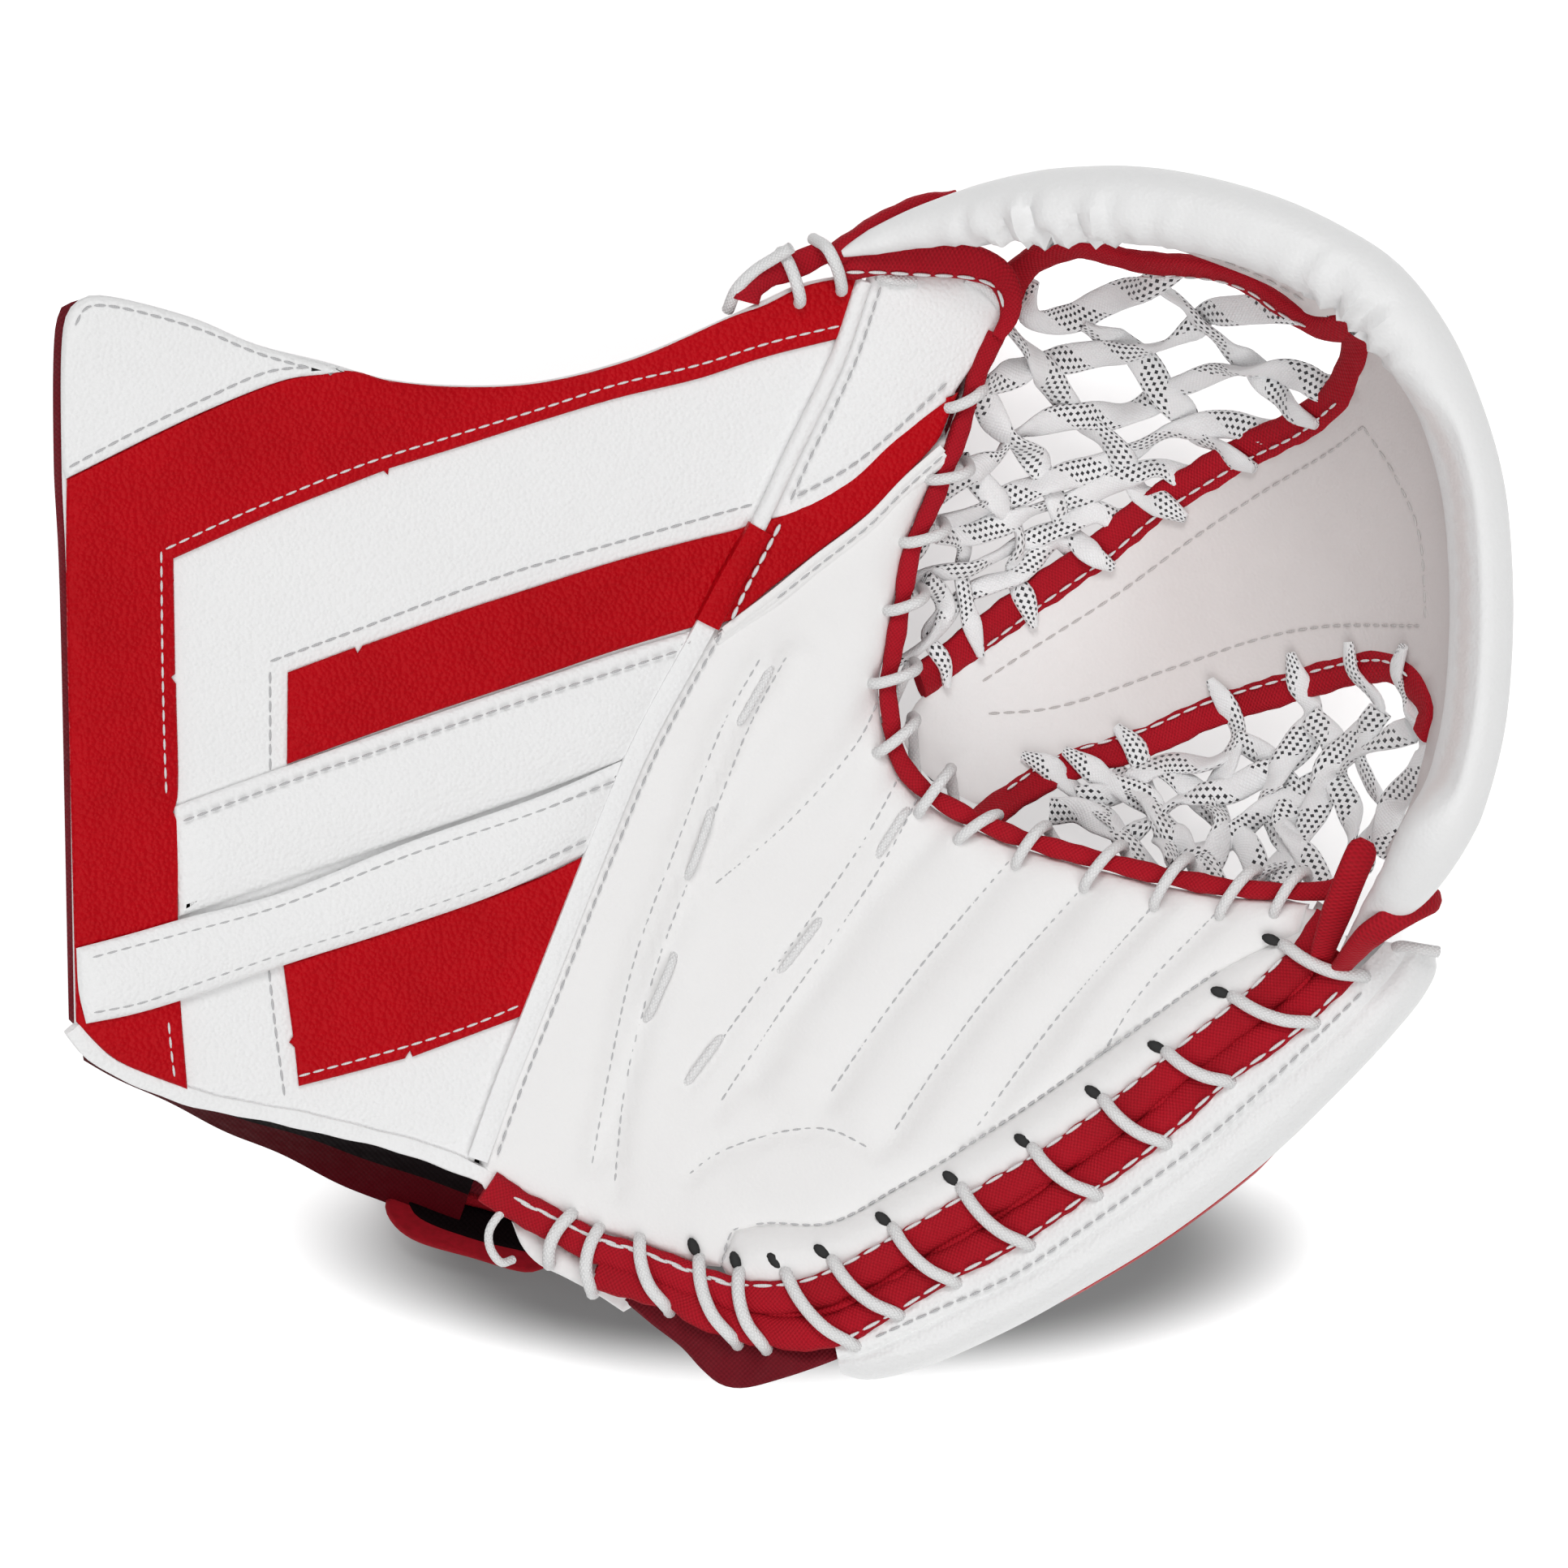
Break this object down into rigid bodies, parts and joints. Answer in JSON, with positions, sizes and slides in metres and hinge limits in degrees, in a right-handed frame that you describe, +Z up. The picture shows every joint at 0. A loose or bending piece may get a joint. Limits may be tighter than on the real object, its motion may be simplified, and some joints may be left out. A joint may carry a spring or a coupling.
{
  "type": "goalie catch glove",
  "caption": "Ice hockey goalie catch glove for the left hand: stiff cuff and thumb, padded palm, laced T web with two nets and a padded rim, closing along the palm break.",
  "frame": {"origin": "bottom centre of the bounding box, on the surface that the glove lies on", "axes": "+X from the cuff's free edge to the far side of the pocket, +Y towards the thumb tip, +Z up out of the palm"},
  "size_m": [0.3997, 0.333, 0.1387],
  "materials": {
    "white_leather": "pebble grain, semi-gloss",
    "soft_leather": "smooth, soft",
    "red_leather": "pebble grain, semi-gloss",
    "red_binding": "woven nylon",
    "red_lining": "woven nylon",
    "white_lace": "braided, waxed",
    "foam": "closed-cell foam",
    "board": "moulded sheet",
    "black_loop": "hook and loop"
  },
  "bodies": {
    "hand": {"perimeter_roll": "white_leather", "finger_edge_board": "white_leather", "palm_leather": "soft_leather", "palm_edge_strip": "soft_leather", "pocket_web": "soft_leather", "palm_edge_binding": "red_binding", "board_edge_binding": "red_binding", "pocket_binding_fingers": "red_binding", "web_binding_upper": "red_binding", "web_binding_lower": "red_binding", "net_binding_top": "red_binding", "finger_tip_loop_1": "red_binding", "finger_tip_loop_2": "red_binding", "heel_flap": "red_binding", "strap_anchor": "red_binding", "wrist_lining": "red_lining", "wrist_guard": "red_lining", "index_stall": "red_lining", "middle_stall": "red_lining", "ring_stall": "red_lining", "little_stall": "red_lining", "palm_lace_2": "white_lace", "edge_lace": "white_lace", "pocket_lace": "white_lace", "upper_net": "white_lace", "lower_net": "white_lace", "palm_pad_fingers": "foam", "back_of_hand_pad": "foam", "finger_back_board": "board"},
    "cuff": {"cuff_board": "foam", "cuff_face": "white_leather", "cuff_back_cover": "red_lining", "cuff_side_cover": "red_lining", "cuff_corner_panel": "white_leather", "cuff_outer_stripe": "red_leather", "cuff_upper_stripe": "red_leather", "cuff_lower_stripe": "red_leather", "cuff_upper_band": "white_leather", "cuff_lower_band": "white_leather", "cuff_piping": "white_leather", "cuff_seam_welt": "white_leather", "thumb_face": "white_leather", "thumb_stripe": "red_leather", "thumb_pad": "foam", "thumb_tip_binding": "red_binding", "thumb_top_binding": "red_binding", "thumb_tip_loop": "red_binding", "pocket_binding_thumb": "red_binding", "palm_pad_thumb": "foam", "palm_lace_1": "white_lace", "thumb_stall": "red_lining", "thumb_back_board": "board", "thumb_back_pad": "foam"},
    "strap": {"wrist_strap": "red_binding", "strap_loop_face": "black_loop"}
  },
  "joints": [
    {"name": "break_hinge", "type": "hinge", "parent": "hand", "child": "cuff", "pos_m": [0.04536, 0.00528, 0.05], "axis": [0.674, 0.7388, 0], "range_deg": [0, 40], "deforming": ["palm_leather", "pocket_web", "upper_net", "lower_net", "web_binding_upper", "web_binding_lower", "net_binding_top", "perimeter_roll", "pocket_lace", "pocket_binding_fingers", "wrist_lining"]},
    {"name": "strap_hinge", "type": "hinge", "parent": "hand", "child": "strap", "pos_m": [-0.06209, -0.13431, 0.0108], "axis": [0.0905, 0.9959, 0], "range_deg": [0, 45]}
  ]
}
